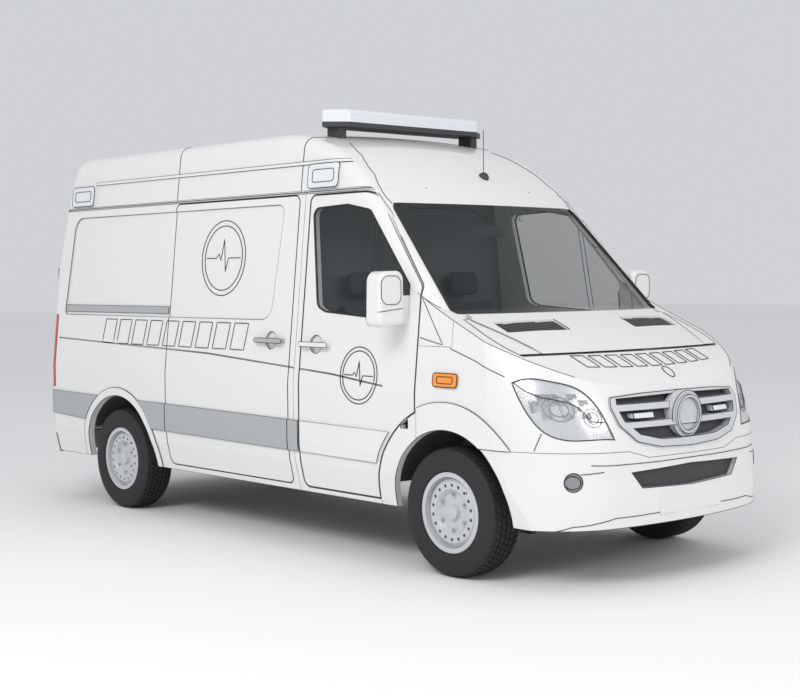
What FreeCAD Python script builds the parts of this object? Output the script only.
# High-roof panel-van ambulance, short wheelbase, built from its separate panels and running gear.
# Units are millimetres. +X points to the front, +Y to the left-hand side, +Z up. The origin lies on the
# ground, midway between the two ends and midway between the two sides.
import FreeCAD, Part
import math
import os

from FreeCAD import Vector

# Driving dimensions

LENGTH = 5315.0
WHEELBASE = 3410.0
FRONT_OVERHANG = 905.0
BODY_WIDTH = 1970.0
TRACK = 1710.0
SILL_HEIGHT = 345.0
WAIST_HEIGHT = 1000.0
GUTTER_HEIGHT = 2150.0
GUTTER_HALF_WIDTH = 868.0
ROOF_HEIGHT = 2562.0
WALL = 40.0
GLASS = 6.0
GAP = 8.0
FIT = 0.3
OVERRUN = 60.0

TYRE_RADIUS = 356.0
TYRE_WIDTH = 225.0
RIM_RADIUS = 222.0
ARCH_RADIUS = 455.0
FLARE_RADIUS = 585.0

FRONT_AXLE_X = LENGTH / 2 - FRONT_OVERHANG
REAR_AXLE_X = FRONT_AXLE_X - WHEELBASE
REAR_FACE_X = -LENGTH / 2 + 22.0
HALF_WIDTH = BODY_WIDTH / 2

PARTS = "parts"
SIDES = {"left": 1.0, "right": -1.0}


def fa(dx):
    """The x of a place dx in front of the front axle."""
    return FRONT_AXLE_X + dx


def save(name, *shapes):
    """Writes one node from its solids."""
    solids = [s for shape in shapes for s in shape.Solids]
    shape = solids[0] if len(solids) == 1 else Part.makeCompound(solids)
    shape.exportStep(os.path.join(PARTS, name + ".step"))
    print(name, len(solids), "valid" if shape.isValid() else "INVALID", round(shape.Volume / 1e6, 2), "litres")


def line(a, b):
    return Part.LineSegment(a, b).toShape()


def spline(points, start=None, end=None):
    curve = Part.BSplineCurve()
    if start is None:
        curve.interpolate(points)
    else:
        curve.interpolate(points, InitialTangent=start, FinalTangent=end)
    return curve.toShape()


def box(x0, x1, y0, y1, z0, z1):
    return Part.makeBox(x1 - x0, y1 - y0, z1 - z0, Vector(x0, y0, z0))


def rod(a, b, radius):
    return Part.makeCylinder(radius, (b - a).Length, a, b - a)


def mirrored(shape):
    return shape.mirror(Vector(0, 0, 0), Vector(0, 1, 0))


def read_at(table, key):
    """Reads a table of (key, value) between its rows."""
    for (ka, va), (kb, vb) in zip(table, table[1:]):
        if ka <= key <= kb:
            return va + (vb - va) * (key - ka) / (kb - ka)
    return table[-1][1]


def at_height(table, z):
    """Reads a table of (value, height) at one height."""
    return read_at([(height, value) for value, height in table], z)


def both(shape):
    return [shape, mirrored(shape)]


def rounded(points, radii, plane="xz"):
    """A closed outline of straight edges with a rounded corner at each point, in the XZ, YZ or XY plane."""
    def place(p):
        return {"xz": Vector(p[0], 0, p[1]), "yz": Vector(0, p[0], p[1]), "xy": Vector(p[0], p[1], 0)}[plane]

    corners = [place(p) for p in points]
    count = len(corners)
    edges = []
    ends = []
    for i, corner in enumerate(corners):
        before = (corners[i - 1] - corner).normalize()
        after = (corners[(i + 1) % count] - corner).normalize()
        radius = radii[i] if isinstance(radii, (list, tuple)) else radii
        half = before.getAngle(after) / 2
        reach = radius / math.tan(half) if radius else 0.0
        start = corner + before * reach
        stop = corner + after * reach
        if radius:
            middle = corner + (before + after).normalize() * (radius / math.sin(half) - radius)
            arc = Part.Arc(start, middle, stop).toShape()
        else:
            arc = None
        ends.append((start, arc, stop))
    for i, (start, arc, stop) in enumerate(ends):
        if arc is not None:
            edges.append(arc)
        following = ends[(i + 1) % count][0]
        if (following - stop).Length > FIT:
            edges.append(line(stop, following))
    return Part.Wire(edges)


# The outer skin. Two bodies are joined: the upper one is windscreen, roof and sides, the lower one is
# bonnet, nose and sides. Every surface can be set in by a wall thickness.

SCREEN_FOOT = (389.0, 1080.0)
SCREEN_HEAD = (-598.0, 2078.0)
DOME = [(-735.0, 2212.0), (-910.0, 2345.0), (-1130.0, 2460.0), (-1400.0, 2538.0), (-1650.0, ROOF_HEIGHT)]
DOME_END = (-2400.0, ROOF_HEIGHT)
ROOF_BAND = 200.0
INSET_ROUND_SHARE = 0.6
SCREEN_BOW = 70.0
ROOF_CROWN = 25.0
BOW_WIDTH = 900.0
EDGE_ROUND = 88.0
BONNET = [(-350.0, 1650.0), (60.0, 1440.0), (300.0, 1335.0), (500.0, 1235.0), (700.0, 1112.0), (830.0, 985.0),
          (960.0, 820.0)]
BONNET_CROWN = 45.0
NOSE_LEVELS = [(200.0, -45.0), (360.0, -3.0), (560.0, -2.0), (720.0, -15.0), (900.0, -57.0), (1030.0, -110.0),
               (1300.0, -255.0), (1750.0, -560.0)]
NOSE_RADIUS = 3113.0
NOSE_CORNER_Y = 560.0
NOSE_CORNER_RADIUS = 522.0
SECTION = [(905.0, 240.0), (930.0, 340.0), (972.0, 520.0), (HALF_WIDTH, 640.0), (HALF_WIDTH, WAIST_HEIGHT),
           (GUTTER_HALF_WIDTH, GUTTER_HEIGHT), (800.0, 2750.0)]
BEHIND = -4800.0
TAIL_LEAN = [(0.0, 240.0), (0.0, 1750.0), (105.0, 2330.0), (175.0, 2470.0), (420.0, 2600.0)]
TAIL_LEVELS = [240.0, 340.0, 520.0, 640.0, 1000.0, 1750.0, 2150.0, 2330.0, 2470.0, 2600.0]
TAIL_CORNER = 62.0
STATIONS = [-1050.0, -525.0, 0.0, 525.0, 1050.0]


def front_point(p):
    return Vector(fa(p[0]), 0, p[1])


def inset_points(points, inset):
    """Moves the points of an open profile, given from front to back, inwards by the inset."""
    moved = []
    for i, p in enumerate(points):
        before = points[max(i - 1, 0)]
        after = points[min(i + 1, len(points) - 1)]
        along = (after - before).normalize()
        moved.append(p + Vector(-along.z, 0, along.x) * inset)
    return moved


def upper_wire(y, inset):
    """The windscreen, dome and roof as a closed outline, low at the front, high at the back."""
    foot, head = inset_points([front_point(SCREEN_FOOT), front_point(SCREEN_HEAD)], inset)
    lean = (head - foot).normalize()
    dome = [head] + inset_points([front_point(p) for p in [SCREEN_HEAD] + DOME + [DOME_END]], inset)[1:-1]
    low = 700.0
    wire = Part.Wire([
        line(foot, head),
        spline(dome, lean, Vector(-1, 0, 0)),
        line(dome[-1], Vector(fa(BEHIND), 0, dome[-1].z)),
        line(Vector(fa(BEHIND), 0, dome[-1].z), Vector(fa(BEHIND), 0, low)),
        line(Vector(fa(BEHIND), 0, low), Vector(foot.x, 0, low)),
        line(Vector(foot.x, 0, low), foot),
    ])
    share = (y / BOW_WIDTH) ** 2
    wire.translate(Vector(-SCREEN_BOW * share, y, -ROOF_CROWN * share))
    return wire


def lower_wire(y, inset):
    """The bonnet and everything under it as a closed outline."""
    top = inset_points([front_point(p) for p in reversed(BONNET)], inset)
    top.reverse()
    low = 200.0
    back = fa(BEHIND)
    wire = Part.Wire([
        line(Vector(back, 0, top[0].z), top[0]),
        spline(top),
        line(top[-1], Vector(top[-1].x, 0, low)),
        line(Vector(top[-1].x, 0, low), Vector(back, 0, low)),
        line(Vector(back, 0, low), Vector(back, 0, top[0].z)),
    ])
    wire.translate(Vector(0, y, -BONNET_CROWN * (y / BOW_WIDTH) ** 2))
    return wire


def plan_wire(level, setback, inset):
    lean = math.asin(NOSE_CORNER_Y / NOSE_RADIUS)
    reach = NOSE_CORNER_RADIUS - inset
    nose = Vector(fa(FRONT_OVERHANG + setback) - inset, 0, level)
    back_x = fa(FRONT_OVERHANG + setback) - NOSE_RADIUS * (1 - math.cos(lean))
    centre_x = back_x - NOSE_CORNER_RADIUS * math.cos(lean)
    centre_y = NOSE_CORNER_Y - NOSE_CORNER_RADIUS * math.sin(lean)
    corner_x = centre_x + reach * math.cos(lean)
    corner_y = centre_y + reach * math.sin(lean)
    middle = (lean + math.pi / 2) / 2
    side_y = centre_y + reach

    def at(x, y):
        return Vector(x, y, level)

    bend = at(centre_x + reach * math.cos(middle), centre_y + reach * math.sin(middle))
    back = fa(BEHIND)
    return Part.Wire([
        Part.Arc(at(corner_x, -corner_y), nose, at(corner_x, corner_y)).toShape(),
        Part.Arc(at(corner_x, corner_y), bend, at(centre_x, side_y)).toShape(),
        line(at(centre_x, side_y), at(back, side_y)),
        line(at(back, side_y), at(back, -side_y)),
        line(at(back, -side_y), at(centre_x, -side_y)),
        Part.Arc(at(centre_x, -side_y), at(bend.x, -bend.y), at(corner_x, -corner_y)).toShape(),
    ])


def cross_section(inset):
    left = [Vector(fa(BEHIND) - 200.0, y - inset, z) for y, z in SECTION]
    right = [Vector(p.x, -p.y, p.z) for p in reversed(left)]
    return Part.Face(Part.makePolygon(left + right + [left[0]])).extrude(Vector(9000.0, 0, 0))


def rear_wire(level, inset):
    """The plan of the tail at one height: a straight back between two round corners."""
    x = REAR_FACE_X + at_height(TAIL_LEAN, level) + inset
    y = at_height(SECTION, level) - inset + FIT
    radius = TAIL_CORNER - inset * INSET_ROUND_SHARE
    bow = radius * (1 - math.sqrt(0.5))

    def at(a, b):
        return Vector(a, b, level)

    return Part.Wire([
        line(at(x, -(y - radius)), at(x, y - radius)),
        Part.Arc(at(x, y - radius), at(x + bow, y - bow), at(x + radius, y)).toShape(),
        line(at(x + radius, y), at(LENGTH, y)),
        line(at(LENGTH, y), at(LENGTH, -y)),
        line(at(LENGTH, -y), at(x + radius, -y)),
        Part.Arc(at(x + radius, -y), at(x + bow, -y + bow), at(x, -(y - radius))).toShape(),
    ])


def rear_limit(inset):
    return Part.makeLoft([rear_wire(z, inset) for z in TAIL_LEVELS], True, True)


def chosen_edges(shape, wanted):
    found = []
    for edge in shape.Edges:
        middle = edge.valueAt((edge.FirstParameter + edge.LastParameter) / 2)
        first = edge.valueAt(edge.FirstParameter)
        last = edge.valueAt(edge.LastParameter)
        if wanted(first, middle, last):
            found.append(edge)
    return found


def is_upper_shoulder(first, middle, last):
    along = abs(first.x - last.x) > OVERRUN
    on_roof = middle.z > GUTTER_HEIGHT + ROOF_BAND
    on_pillar = middle.x > front_point(SCREEN_HEAD).x - OVERRUN and middle.z > SCREEN_FOOT[1] + OVERRUN
    tall = abs(first.z - last.z) > WAIST_HEIGHT / 2
    return along and abs(middle.y) > GUTTER_HALF_WIDTH - ROOF_BAND and (on_roof or (on_pillar and tall))


def hull(inset):
    """The whole body as a solid, with every surface moved inwards by the inset."""
    upper = Part.makeLoft([upper_wire(y, inset) for y in STATIONS], True, False)
    upper = upper.common(cross_section(inset))
    upper = upper.makeFillet(EDGE_ROUND - inset * INSET_ROUND_SHARE, chosen_edges(upper, is_upper_shoulder))
    lower = Part.makeLoft([lower_wire(y, inset) for y in STATIONS], True, False)
    plan = Part.makeLoft([plan_wire(z, setback, inset) for z, setback in NOSE_LEVELS], True, False)
    lower = lower.common(cross_section(inset)).common(plan)
    return upper.fuse(lower).common(rear_limit(inset))


# Outlines of the panels. Side outlines are (distance in front of the front axle, height), plan outlines are
# (distance in front of the front axle, distance from the middle), end outlines are (distance from the middle,
# height).

FRONT_DOOR = [(-1290.0, 375.0), (-1290.0, 2140.0), (-735.0, 2140.0), (-250.0, 1588.0), (-250.0, 375.0)]
FRONT_DOOR_ROUNDS = [45.0, 45.0, 150.0, 60.0, 0.0]
DOOR_GAP = 9.0
PILLAR_SEAM = -1347.0
SILL_BOTTOM = 338.0
SLIDING_DOOR = [(-2777.0, 378.0), (-2777.0, 2146.0), (-1405.0, 2146.0), (-1405.0, 378.0)]
SHUT_GAP = 6.0
SHUT_DEPTH = 24.0
ROOF_SEAM = [(-1347.0, 2175.0), (-720.0, 2175.0), (-625.0, 2084.0)]
SCREEN = [(-872.0, 1436.0), (872.0, 1436.0), (778.0, 2078.0), (-778.0, 2078.0)]
SCREEN_ROUNDS = [30.0, 30.0, 60.0, 60.0]
DOOR_WINDOW = [(-1262.0, 2062.0), (-1160.0, 1470.0), (-1080.0, 1440.0), (-345.0, 1392.0), (-345.0, 1600.0),
               (-730.0, 2035.0), (-940.0, 2074.0)]
DOOR_WINDOW_ROUNDS = [50.0, 60.0, 60.0, 20.0, 20.0, 60.0, 60.0]
BONNET_SIDE = [(30.0, 868.0), (191.0, 886.0), (400.0, 882.0), (512.0, 850.0), (606.0, 786.0), (684.0, 696.0),
               (751.0, 600.0)]
BONNET_REAR_X = 115.0
BONNET_FRONT_X = 1100.0
BONNET_SLANT = 0.45
BONNET_GAP = 7.0
BONNET_LOW = 1028.0
BONNET_LEVEL = 1400.0
BONNET_EDGE = 1412.0
BONNET_BELOW = 180.0
BONNET_REACH = 900.0
BONNET_BEVEL = 0.6
REAR_GAP_SHARE = 1.4
FENDER_TOP = 1262.0
FENDER_FRONT = 28.0
COWL_HALF = 862.0
COWL_FRONT = 135.0
GRILLE = [(0.0, 725.0), (250.0, 735.0), (410.0, 770.0), (515.0, 860.0), (545.0, 955.0), (530.0, 1003.0),
          (300.0, 1016.0), (0.0, 1020.0)]
BUMPER_TOP = 727.0
BUMPER_LOW_SIDE = 325.0
LOWER_GRILLE = [(0.0, 512.0), (390.0, 524.0), (465.0, 612.0), (0.0, 628.0)]
LAMP = [(-341.0, 1086.0), (-252.0, 1109.0), (-132.0, 1093.0), (-8.0, 1058.0), (91.0, 975.0), (143.0, 893.0),
        (194.0, 788.0), (61.0, 793.0), (-93.0, 801.0), (-181.0, 839.0), (-237.0, 895.0), (-278.0, 955.0)]
REAR_DOOR_EDGE = [(872.0, 482.0), (886.0, 640.0), (886.0, 1000.0), (764.0, 2190.0)]
REAR_DOOR_SPLIT = 2.5
REAR_HINGE_BEHIND = 12.0
REAR_HINGE_Y = 885.0
REAR_WINDOW = [(130.0, 1400.0), (790.0, 1400.0), (715.0, 2080.0), (130.0, 2080.0)]
REAR_WINDOW_ROUND = 60.0
SIDE_FIELD = [(-4212.0, 1380.0), (-1620.0, 1380.0), (-1550.0, 2100.0), (-4140.0, 2100.0)]
SIDE_FIELD_ROUNDS = [30.0, 110.0, 60.0, 110.0]
FIELD_DEPTH = 8.0


SIDE_NEAR = 815.0
SIDE_FAR = 1100.0


def across(points, rounds, side, grow=0.0, near=SIDE_NEAR):
    """An outline seen from the side, run through one side wall."""
    wire = rounded([(fa(x), z) for x, z in points], rounds, "xz")
    if grow:
        wire = wire.makeOffset2D(grow)
    face = Part.Face(wire)
    face.translate(Vector(0, side * near, 0))
    return face.extrude(Vector(0, side * (SIDE_FAR - near), 0))


def skin(solid, region, move):
    """The layer of a solid's surface within a region, as deep as the move, which points inwards."""
    block = solid.common(region)
    lowered = block.copy()
    lowered.translate(move)
    return block.cut(lowered)


def proud(solid, region, move):
    """A layer lying on a solid's surface within a region, as thick as the move, which points outwards."""
    block = solid.common(region)
    raised = block.copy()
    raised.translate(move)
    return raised.cut(block)


def layer(solid, region, raised, sunk):
    """The part of a region between two copies of a solid's surface: one moved out, the other moved in."""
    block = solid.common(region)
    upper = block.copy()
    upper.translate(raised)
    lower = block.copy()
    lower.translate(sunk)
    return upper.cut(lower)


def through(points, rounds, x0, x1, grow=0.0):
    """An outline seen from the end, run along the body."""
    wire = rounded(points, rounds, "yz")
    if grow:
        wire = wire.makeOffset2D(grow)
    face = Part.Face(wire)
    face.translate(Vector(x0, 0, 0))
    return face.extrude(Vector(x1 - x0, 0, 0))


def symmetric(half):
    """Completes an end outline that starts and stops on the middle plane."""
    return half + [(-y, z) for y, z in reversed(half) if y > FIT]


def arch(x, radius, side=0.0):
    if side:
        start = Vector(x, side * 300.0, TYRE_RADIUS)
        return Part.makeCylinder(radius, 900.0, start, Vector(0, side, 0))
    return Part.makeCylinder(radius, 2400.0, Vector(x, -1200.0, TYRE_RADIUS), Vector(0, 1, 0))


def half_space(side):
    return box(-LENGTH, LENGTH, 0.0, 1200.0, 0.0, 3000.0) if side > 0 else box(-LENGTH, LENGTH, -1200.0, 0.0, 0.0, 3000.0)


def slanted(face, slant, level):
    """A tall prism on a plan outline, leaning along X, that fits the outline at one level."""
    face.translate(Vector(-slant * BONNET_BELOW, 0, level - BONNET_BELOW))
    return face.extrude(Vector(slant * BONNET_REACH, 0, BONNET_REACH))


def bonnet_region(grow):
    side = [Vector(fa(x), y + grow, 0) for x, y in BONNET_SIDE]
    side[0].x -= grow * REAR_GAP_SHARE
    other = [Vector(p.x, -p.y, 0) for p in reversed(side)]
    front = fa(BONNET_FRONT_X)
    edges = [
        spline(side),
        line(side[-1], Vector(front, side[-1].y, 0)),
        line(Vector(front, side[-1].y, 0), Vector(front, -side[-1].y, 0)),
        line(Vector(front, -side[-1].y, 0), other[0]),
        spline(other),
        Part.Arc(other[-1], Vector(fa(BONNET_REAR_X) - grow * REAR_GAP_SHARE, 0, 0), side[0]).toShape(),
    ]
    region = slanted(Part.Face(Part.Wire(edges)), BONNET_SLANT, BONNET_LEVEL)
    return region.common(box(-LENGTH, LENGTH, -WIDE, WIDE, BONNET_LOW - grow, HIGH))


def bonnet_rear_bevel():
    """Keeps what lies ahead of the bonnet's rear edge, bevelled so the edge swings clear of the scuttle."""
    x, y = BONNET_SIDE[0]
    shift = BONNET_SLANT * (BONNET_EDGE - BONNET_LEVEL)
    corner = Vector(fa(x) + shift, y, 0)
    other = Vector(fa(x) + shift, -y, 0)
    ahead = fa(BONNET_FRONT_X + BONNET_REACH)
    outline = [corner, Vector(corner.x, WIDE, 0), Vector(ahead, WIDE, 0), Vector(ahead, -WIDE, 0),
               Vector(other.x, -WIDE, 0), other]
    edges = [line(p, q) for p, q in zip(outline, outline[1:])]
    edges.append(Part.Arc(other, Vector(fa(BONNET_REAR_X) + shift, 0, 0), corner).toShape())
    return slanted(Part.Face(Part.Wire(edges)), -BONNET_BEVEL, BONNET_EDGE)


def lamp_region(side, grow=0.0):
    out = Vector(1, side, 0).normalize()
    along = Vector(1, -side, 0).normalize()
    points = [Vector(FRONT_AXLE_X, 0, 0) + along * a + Vector(0, 0, z) for a, z in LAMP]
    curve = Part.BSplineCurve()
    curve.interpolate(points[6:] + points[:1])
    top = Part.BSplineCurve()
    top.interpolate(points[:7])
    wire = Part.Wire([top.toShape(), curve.toShape()])
    if grow:
        wire = wire.makeOffset2D(grow)
    face = Part.Face(wire)
    face.translate(out * 500.0)
    return face.extrude(out * 900.0)


def grille_region(grow=0.0):
    half = GRILLE
    return through(symmetric(half), [0.0, 60, 60, 60, 40, 20, 0, 0.0, 0.0, 20, 40, 60, 60, 60][:len(symmetric(half))],
                   fa(400.0), fa(1200.0), grow)


# Body panels

REAR_BUMPER_TOP = 470.0
WIDE = 1200.0
HIGH = 3000.0


def rear_door_region(grow):
    edge = [(y + grow, z) for y, z in REAR_DOOR_EDGE]
    half = [(0.0, edge[0][1])] + edge + [(0.0, edge[-1][1])]
    return through(symmetric(half), 0.0, REAR_FACE_X - 100.0, REAR_FACE_X + 300.0)


def back_door_region(side):
    edge = [(side * (y - SHUT_GAP), z) for y, z in REAR_DOOR_EDGE]
    split = side * REAR_DOOR_SPLIT
    low = edge[0][1] + SHUT_GAP
    high = edge[-1][1] - SHUT_GAP
    points = [(split, low), (edge[0][0], low)] + edge[1:-1] + [(edge[-1][0], high), (split, high)]
    region = through(points, 0.0, REAR_FACE_X - 100.0, REAR_FACE_X + 300.0)
    swing = Part.makeCylinder(REAR_HINGE_Y - REAR_DOOR_SPLIT, HIGH, rear_hinge(side), Vector(0, 0, 1))
    return region.common(swing)


def rear_hinge(side):
    return Vector(REAR_FACE_X - REAR_HINGE_BEHIND, side * REAR_HINGE_Y, 0)


def rear_window(side):
    points = [(side * y, z) for y, z in REAR_WINDOW]
    return through(points, REAR_WINDOW_ROUND, REAR_FACE_X - 100.0, REAR_FACE_X + 300.0)


BUMPER_SEAM = [(0.0, 682.0), (330.0, 682.0), (470.0, 722.0), (1200.0, 735.0)]
TAIL_LAMP = [(893.0, 835.0), (893.0, 1375.0)]
TAIL_LAMP_FRONT = -4305.0
FOG_LAMP = (-27.0, 578.0, 48.0)


def fog_region(side, radius):
    out = Vector(1, side, 0).normalize()
    along = Vector(1, -side, 0).normalize()
    centre = Vector(FRONT_AXLE_X, 0, 0) + along * FOG_LAMP[0] + Vector(0, 0, FOG_LAMP[1])
    return Part.makeCylinder(radius, 700.0, centre + out * 700.0, out)


def tail_region(side):
    y = TAIL_LAMP[0][0]
    low, high = sorted([side * y, side * WIDE])
    return box(-LENGTH, fa(TAIL_LAMP_FRONT), low, high, TAIL_LAMP[0][1], TAIL_LAMP[1][1])


BELT = [(-4266.0, 1204.0), (-2287.0, 1151.0), (-988.0, 1073.0), (-520.0, 1025.0)]
BELT_HALF = 4.0
BELT_DEPTH = 5.0
GUTTER = (-4262.0, -720.0, 2154.0, 2168.0)
GUTTER_DEPTH = 8.0
RIB = (-3876.0, -927.0, 2334.0, 2354.0)
RIB_PROUD = 6.0
ROOF_NEAR = 600.0
ROOF_JOINTS = [-2777.0, -1400.0]
JOINT_HALF = 3.0
JOINT_DEPTH = 7.0
JOINT_SIDE_Y = 690.0
FLARE_OUT = 7.0
FLARE_FRONT = 606.0
FLARE_REAR = 512.0
FLARE_NEAR = 700.0
FLARE_START = -228.0
DOOR_RELIEF = (-365.0, -302.0, 796.0, 873.0)
WING_GAP = 8.6
HANDLE_DISH = [(-1150.0, 1243.0), (-1598.0, 1255.0)]
DISH_RADIUS = 56.0
DISH_DEPTH = 12.0


def belt_line(outer, side):
    """The groove that runs along the side at elbow height."""
    up = [(x, z + BELT_HALF) for x, z in reversed(BELT)]
    down = [(x, z - BELT_HALF) for x, z in BELT]
    return skin(outer, across(down + up, 0.0, side), Vector(0, -side * BELT_DEPTH, 0))


def gutter_line(outer, side):
    x0, x1, z0, z1 = GUTTER
    band = across([(x0, z0), (x1, z0), (x1, z1), (x0, z1)], 0.0, side, near=ROOF_NEAR)
    return skin(outer, band, Vector(0, -side * GUTTER_DEPTH, 0))


def handle_dish(outer, side, centre):
    x, z = centre
    start = Vector(fa(x), side * SIDE_NEAR, z)
    return skin(outer, Part.makeCylinder(DISH_RADIUS, SIDE_FAR - SIDE_NEAR, start, Vector(0, side, 0)),
                Vector(0, -side * DISH_DEPTH, 0))


def flare(panel, x, radius, side):
    """The raised lip round a wheel arch."""
    band = arch(x, radius).cut(arch(x, ARCH_RADIUS)).common(sided_box(-LENGTH, LENGTH, FLARE_NEAR, WIDE, 0.0, HIGH, side))
    return proud(panel, band, Vector(0, side * FLARE_OUT, 0))


def roof_joint(outer, x):
    """The groove of a joint across the roof."""
    strip = box(fa(x) - JOINT_HALF, fa(x) + JOINT_HALF, -JOINT_SIDE_Y, JOINT_SIDE_Y, GUTTER_HEIGHT, HIGH)
    groove = skin(outer, strip, Vector(0, 0, -JOINT_DEPTH))
    for side in SIDES.values():
        strip = sided_box(fa(x) - JOINT_HALF, fa(x) + JOINT_HALF, JOINT_SIDE_Y, WIDE, ROOF_SEAM[0][1], HIGH, side)
        groove = groove.fuse(skin(outer, strip, Vector(0, -side * JOINT_DEPTH, 0)))
    return groove


def roof_rib(outer, side):
    x0, x1, z0, z1 = RIB
    band = across([(x0, z0), (x1, z0), (x1, z1), (x0, z1)], 0.0, side, near=ROOF_NEAR)
    return proud(outer, band, Vector(0, side * RIB_PROUD, 0))


CREASE = [(70.0, 838.0), (138.0, 814.0), (337.0, 749.0), (557.0, 675.0), (678.0, 616.0), (733.0, 576.0),
          (790.0, 548.0)]
CREASE_PROUD = 5.0
VENT = [(112.0, 735.0), (158.0, 285.0), (285.0, 285.0), (236.0, 735.0)]
VENT_ROUND = 10.0
VENT_DEPTH = 18.0
VENT_SUNK = 6.0
VENT_SLOT = (9.0, 24.0, 120.0)


def plan_region(points, rounds, z0, z1):
    wire = rounded([(fa(x), y) for x, y in points], rounds, "xy")
    face = Part.Face(wire)
    face.translate(Vector(0, 0, z0))
    return face.extrude(Vector(0, 0, z1 - z0))


def bonnet_crown(lid):
    """The raised middle of the bonnet, between its two creases."""
    half = [(0.0, CREASE[0][1])] + CREASE + [(BONNET_FRONT_X, CREASE[-1][1])]
    region = plan_region(half + [(x, -y) for x, y in reversed(half)], 0.0, BONNET_LOW - BONNET_GAP, GUTTER_HEIGHT)
    return proud(lid, region, Vector(0, 0, CREASE_PROUD))


def vent_region(side):
    return plan_region([(x, side * y) for x, y in VENT], VENT_ROUND, BONNET_LOW, GUTTER_HEIGHT)


def vent_insert(outer, side):
    """A black louvred plate in the bottom of a bonnet vent."""
    plate = layer(outer, vent_region(side), Vector(0, 0, -VENT_SUNK), Vector(0, 0, -VENT_DEPTH))
    gap, pitch, start = VENT_SLOT
    count = int((VENT[2][0] - start) / pitch)
    for i in range(count + 1):
        x = fa(start + i * pitch)
        plate = plate.cut(box(x, x + gap, -WIDE, WIDE, BONNET_LOW, HIGH))
    return plate


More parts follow.
